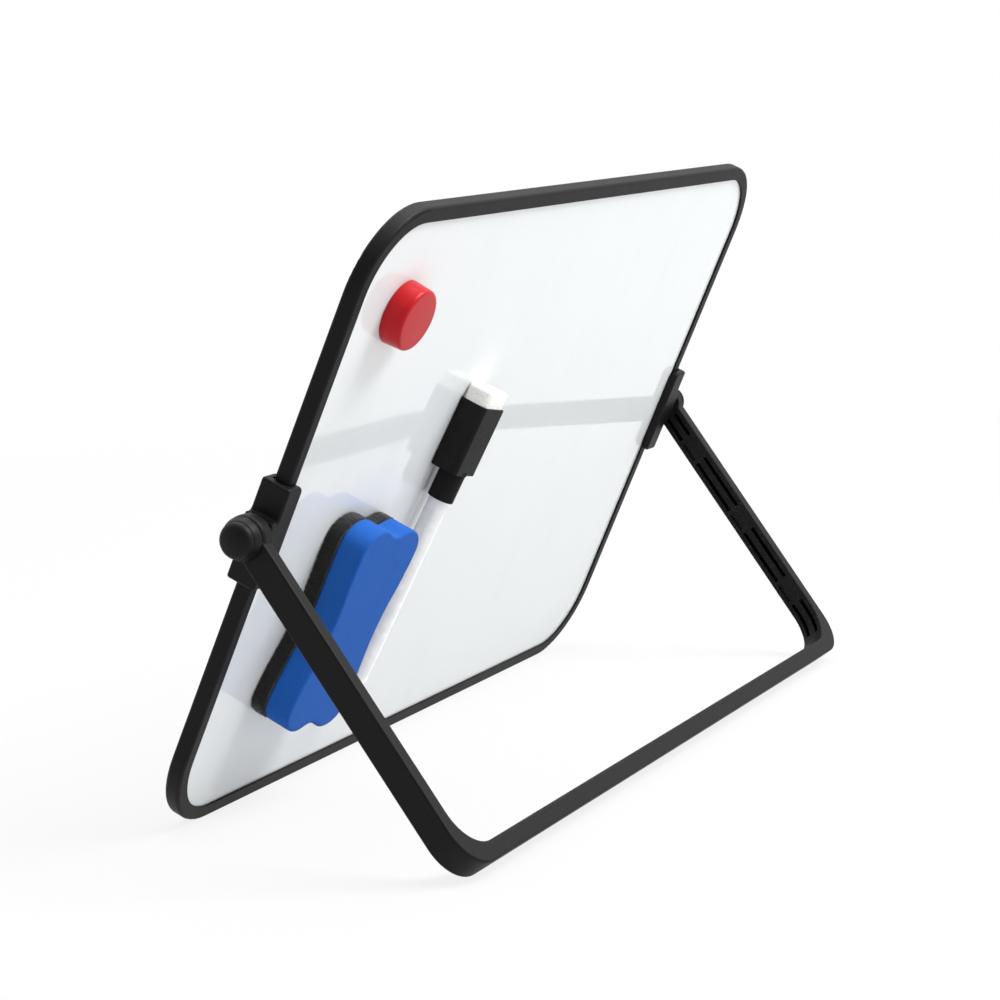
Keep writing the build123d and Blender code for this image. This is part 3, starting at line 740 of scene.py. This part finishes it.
def eraser_felt():
    """Thick black felt under the foam: matted surface and loose fibres round it."""
    values = sizes()
    place, size = eraser_place("eraser_felt")
    piece = eraser_outline("eraser_felt_pad", size.x / 2, size.y / 2, size.z, values.felt_edge)
    modify(piece, "REMESH", mode="VOXEL", voxel_size=values.felt_voxel)
    roughen(piece, "felt_lumps", values.felt_lump, values.felt_wave)
    roughen(piece, "felt_mat", values.felt_mat, values.felt_mat_wave)
    bpy.ops.object.shade_smooth()
    add_fibres(piece, values.eraser_fibres, seed=11)
    settle(piece, place, "eraser_felt", felt("felt_black", colours().felt))
    return piece


def marker_place(node):
    """Axes on the marker's axis at a node's lower end, and the node's corners there."""
    barrel, _ = seat("marker_barrel", MARKER)
    low, high = extent(node, barrel)
    return barrel @ Matrix.Translation((0, 0, low.z)), low, high


def marker_cap():
    """Marker's cap: head with flat sides and soft edges, shoulder and bored collar."""
    values = sizes()
    place, low, high = marker_place("marker_cap")
    top = high.z - low.z
    head_low = top - values.head_length
    middle_y = (low.y + high.y) / 2
    drop_selection()
    bpy.ops.mesh.primitive_cube_add(size=1, location=(0, middle_y, top - values.head_length / 2),
                                    scale=(high.x - low.x, high.y - low.y, values.head_length))
    piece = named("marker_cap_shell")
    bpy.ops.object.transform_apply(location=True, rotation=True, scale=True)
    bpy.ops.object.mode_set(mode="EDIT")
    pick(piece, "EDGE", lambda edge: abs(direction(edge).z) > 0.9)
    bpy.ops.mesh.bevel(offset=values.head_edge, segments=6, affect="EDGES")
    pick(piece, "EDGE", lambda edge: abs(direction(edge).z) < 0.1)
    bpy.ops.mesh.bevel(offset=values.cap_edge, segments=3, affect="EDGES")
    bpy.ops.object.mode_set(mode="OBJECT")
    collar = marker_collar(head_low)
    modify_with(piece, collar, "UNION")
    bore = turned("marker_cap_bore", [
        (0, -MM), (values.collar_bore, -MM),
        (values.collar_bore, values.collar_bore_depth), (0, values.collar_bore_depth),
    ])
    modify_with(piece, bore, "DIFFERENCE")
    smooth(32)
    modify(piece, "WEIGHTED_NORMAL", keep_sharp=True, weight=100)
    return settle(piece, place, "marker_cap",
                  gloss_plastic("marker_black", colours().cap, 0.26, 0.03))


def marker_collar(head_low):
    """Round collar below the cap's head, with a rounded mouth and a flared root."""
    values = sizes()
    radius, edge = values.collar_radius, values.cap_edge
    outline = [(0, 0)]
    outline += arc((radius - edge, edge), edge, -90, 0, 4)
    outline += [(radius, head_low - 2 * edge), (radius + edge * 0.4, head_low - edge * 0.7)]
    outline += [(radius + edge, head_low), (radius + edge, head_low + MM), (0, head_low + MM)]
    return turned("marker_cap_collar", outline)


def modify_with(piece, tool, operation):
    """Joins or cuts a piece with another one, which is used up."""
    drop_selection()
    bpy.context.view_layer.objects.active = piece
    modify(piece, "BOOLEAN", object=tool, operation=operation, solver="EXACT")
    bpy.data.objects.remove(tool)
    piece.select_set(True)


def cap_felt():
    """White felt block on the cap's end, with soft corners and loose fibres."""
    values = sizes()
    place, low, high = marker_place("cap_felt")
    size = high - low
    middle_y = (low.y + high.y) / 2
    drop_selection()
    bpy.ops.mesh.primitive_cube_add(size=1, location=(0, middle_y, size.z / 2),
                                    scale=(size.x, size.y, size.z))
    piece = named("marker_felt_block")
    bpy.ops.object.transform_apply(location=True, rotation=True, scale=True)
    bpy.ops.object.mode_set(mode="EDIT")
    pick(piece, "EDGE", lambda edge: abs(direction(edge).z) > 0.9)
    bpy.ops.mesh.bevel(offset=values.cap_felt_corner, segments=8, affect="EDGES")
    pick(piece, "EDGE", lambda edge: middle(edge).z > size.z * 0.9 and abs(direction(edge).z) < 0.1)
    bpy.ops.mesh.bevel(offset=values.cap_felt_edge, segments=5, affect="EDGES")
    bpy.ops.object.mode_set(mode="OBJECT")
    modify(piece, "REMESH", mode="VOXEL", voxel_size=values.cap_felt_voxel)
    roughen(piece, "cap_felt_lumps", values.cap_felt_lump, values.cap_felt_wave)
    bpy.ops.object.shade_smooth()
    add_fibres(piece, values.cap_fibres, seed=23)
    settle(piece, place, "cap_felt", felt("felt_white", colours().cap_felt, contrast=0.12))
    return piece


# ---------------------------------------------------------------- operators
class EASEL_OT_board(bpy.types.Operator):
    """Finish the board: black frame halves, white enamelled sheets, fibreboard core"""

    bl_idname = "easel.board"
    bl_label = "Board"

    def execute(self, context):
        dress(satin_plastic("frame_black", colours().frame_black, 0.52),
              "front_frame", "rear_frame")
        dress(enamel("enamel_white", colours().enamel), "front_sheet", "rear_sheet")
        dress(fibreboard("core_board", colours().fibreboard), "panel_core")
        return {"FINISHED"}


class EASEL_OT_stand(bpy.types.Operator):
    """Finish the stand and the two rail clamps"""

    bl_idname = "easel.stand"
    bl_label = "Stand and clamps"

    def execute(self, context):
        black = colours().stand_black
        dress(satin_plastic("stand_black", black, 0.52), "stand_frame")
        dress(satin_plastic("clamp_black", black, 0.46), "left_clamp", "right_clamp")
        return {"FINISHED"}


class EASEL_OT_hardware(bpy.types.Operator):
    """Finish the screws, nuts and washers of both pivots"""

    bl_idname = "easel.hardware"
    bl_label = "Pivot hardware"

    def execute(self, context):
        kinds = ("pivot_screw", "pivot_nut", "spring_washer", "washer")
        dress(plated_steel("zinc_plate", colours().zinc),
              *[f"{side}_{kind}" for side in ("left", "right") for kind in kinds])
        return {"FINISHED"}


class EASEL_OT_pivot_covers(bpy.types.Operator):
    """Model the two pivot covers"""

    bl_idname = "easel.pivot_covers"
    bl_label = "Pivot covers"

    def execute(self, context):
        for side in ("left", "right"):
            pivot_cover(side)
        return {"FINISHED"}


class EASEL_OT_magnet(bpy.types.Operator):
    """Model the round magnet's red shell and finish its disc"""

    bl_idname = "easel.magnet"
    bl_label = "Round magnet"

    def execute(self, context):
        round_magnet()
        dress(ferrite("ferrite", colours().ferrite), "magnet_disc")
        return {"FINISHED"}


class EASEL_OT_eraser(bpy.types.Operator):
    """Model the eraser's foam and felt and finish its magnet strips"""

    bl_idname = "easel.eraser"
    bl_label = "Eraser"

    def execute(self, context):
        eraser_felt()
        eraser_foam()
        dress(ferrite("magnet_strip", colours().ferrite), "eraser_magnets")
        return {"FINISHED"}


class EASEL_OT_marker_cap(bpy.types.Operator):
    """Model the marker's cap and its felt and finish its magnet"""

    bl_idname = "easel.marker_cap"
    bl_label = "Marker cap"

    def execute(self, context):
        marker_cap()
        cap_felt()
        dress(ferrite("cap_magnet", colours().ferrite), "cap_magnet")
        return {"FINISHED"}


class EASEL_OT_pen(bpy.types.Operator):
    """Finish the pen: barrel, nose, plug, nib and ink reservoir"""

    bl_idname = "easel.pen"
    bl_label = "Pen"

    def execute(self, context):
        dress(gloss_plastic("barrel_white", colours().barrel, 0.22, coat_weight=1.0,
                            coat_roughness=0.2, sheen_weight=0.5, sheen_roughness=0.35),
              "marker_barrel", "marker_nose", "marker_plug")
        dress(felt("nib_fibre", colours().felt, contrast=0.3), "marker_nib", "ink_reservoir")
        return {"FINISHED"}


class EASEL_OT_stage(bpy.types.Operator):
    """Set up the floor, the lamps, the surroundings and the camera"""

    bl_idname = "easel.stage"
    bl_label = "Studio"

    def execute(self, context):
        add_camera()
        add_floor()
        add_lamps()
        set_surroundings()
        return {"FINISHED"}


# ---------------------------------------------------------------- studio
def add_camera():
    """Long-lens camera, low and well to the left of the writing face."""
    values = studio()
    bpy.ops.object.camera_add(location=values.camera_place, rotation=values.camera_turn)
    camera = bpy.context.object
    camera.name = "camera"
    camera.data.lens = values.lens
    bpy.context.scene.camera = camera


def seen_directly(tree):
    """1 for rays from the camera and for mirror and glass rays, 0 for lighting rays."""
    camera, gloss, glass = [tree.add("ShaderNodeLightPath", output=f"Is {kind} Ray")
                            for kind in ("Camera", "Glossy", "Transmission")]
    return tree.calculate("MAXIMUM", tree.calculate("MAXIMUM", camera, gloss), glass)


def add_floor():
    """Pale floor that keeps the object's shadow and runs out into the white surroundings."""
    values = studio()
    pale = colours().floor
    drop_selection()
    bpy.ops.mesh.primitive_plane_add(size=values.floor_size)
    floor = named("floor")
    finish = Finish("floor_pale", pale, 0.9, specular_ior_level=0.0)
    grain = finish.noise(40 * MM, detail=3.0)
    finish.set("Base Color", finish.mix(grain, tinted(pale, 0.995), pale))
    distance = finish.add("ShaderNodeVectorMath", {"operation": "LENGTH"}, {0: finish.place},
                          output="Value")
    near = 1 - finish.ramp(distance, values.shadow_near, values.shadow_far)
    white = seen_directly(finish) * (1 - near * values.shadow_share)
    glow = finish.add("ShaderNodeEmission", {}, {"Color": (1, 1, 1, 1), "Strength": 1.0})
    blend = finish.add("ShaderNodeMixShader", {}, {0: white, 1: finish.shader, 2: glow})
    finish.plug(finish.output.inputs["Surface"], blend)
    floor.data.materials.append(finish.material)


def add_lamp(name, place, size, power):
    """Square soft lamp that faces the object."""
    drop_selection()
    bpy.ops.object.light_add(type="AREA", location=place)
    lamp = bpy.context.object
    lamp.name = name
    way = Vector(studio().lamp_aim) - Vector(place)
    lamp.rotation_euler = way.to_track_quat("-Z", "Y").to_euler()
    lamp.data.shape = "SQUARE"
    lamp.data.size = size
    lamp.data.energy = power


def add_lamps():
    """Broad overhead lamp, and a soft front lamp for the writing face."""
    values = studio()
    add_lamp("key_lamp", values.key_place, values.key_size, values.key_power)
    add_lamp("front_lamp", values.front_place, values.front_size, values.front_power)


def set_surroundings():
    """Even surroundings: white to the eye, dimmer as light, darker in gloss near the camera."""
    values = studio()
    world = bpy.data.worlds.new("surroundings")
    bpy.context.scene.world = world
    tree = Tree(world)
    way = tree.add("ShaderNodeTexCoord", output="Generated")
    towards = Vector(values.camera_place).normalized()
    facing = tree.add("ShaderNodeVectorMath", {"operation": "DOT_PRODUCT"},
                      {0: way, 1: towards}, output="Value")
    dark = tree.add("ShaderNodeMapRange", {"interpolation_type": "SMOOTHSTEP"}, {
        "Value": facing, "From Min": values.dark_start, "From Max": values.dark_full,
    })
    camera_ray = tree.add("ShaderNodeLightPath", output="Is Camera Ray")
    seen = seen_directly(tree)
    gloss = 1 - dark * (1 - values.dark_side)
    reflected = seen * gloss + (1 - seen) * values.sky
    strength = camera_ray + (1 - camera_ray) * reflected
    background = tree.add("ShaderNodeBackground", {}, {"Color": (1, 1, 1, 1), "Strength": strength})
    tree.add("ShaderNodeOutputWorld", {}, {"Surface": background})
    bpy.context.scene.view_settings.view_transform = "Standard"


# ---------------------------------------------------------------- sidebar and registration
STEPS = (EASEL_OT_stage, EASEL_OT_board, EASEL_OT_stand, EASEL_OT_hardware,
         EASEL_OT_pivot_covers, EASEL_OT_magnet, EASEL_OT_eraser, EASEL_OT_marker_cap,
         EASEL_OT_pen)
GROUPS = {"easel_sizes": EaselSizes, "easel_colours": EaselColours, "easel_studio": EaselStudio}


class EASEL_PT_sidebar(bpy.types.Panel):
    """Lists the easel's pieces in the order they are made"""

    bl_idname = "EASEL_PT_sidebar"
    bl_label = "Whiteboard Easel"
    bl_space_type = "VIEW_3D"
    bl_region_type = "UI"
    bl_category = "Easel"

    def draw(self, context):
        for step in STEPS:
            self.layout.operator(step.bl_idname)
        for name, group in GROUPS.items():
            box = self.layout.box()
            for field in group.__annotations__:
                box.prop(getattr(context.scene, name), field)


def register():
    """Registers the property groups, the operators and the panel."""
    for name, group in GROUPS.items():
        bpy.utils.register_class(group)
        setattr(bpy.types.Scene, name, PointerProperty(type=group))
    for kind in (*STEPS, EASEL_PT_sidebar):
        bpy.utils.register_class(kind)


def unregister():
    """Takes back all that register added."""
    for kind in (EASEL_PT_sidebar, *reversed(STEPS)):
        bpy.utils.unregister_class(kind)
    for name, group in GROUPS.items():
        delattr(bpy.types.Scene, name)
        bpy.utils.unregister_class(group)


def main():
    """Makes every piece in order."""
    register()
    for step in STEPS:
        group, name = step.bl_idname.split(".")
        getattr(getattr(bpy.ops, group), name)()


if __name__ == "__main__":
    main()
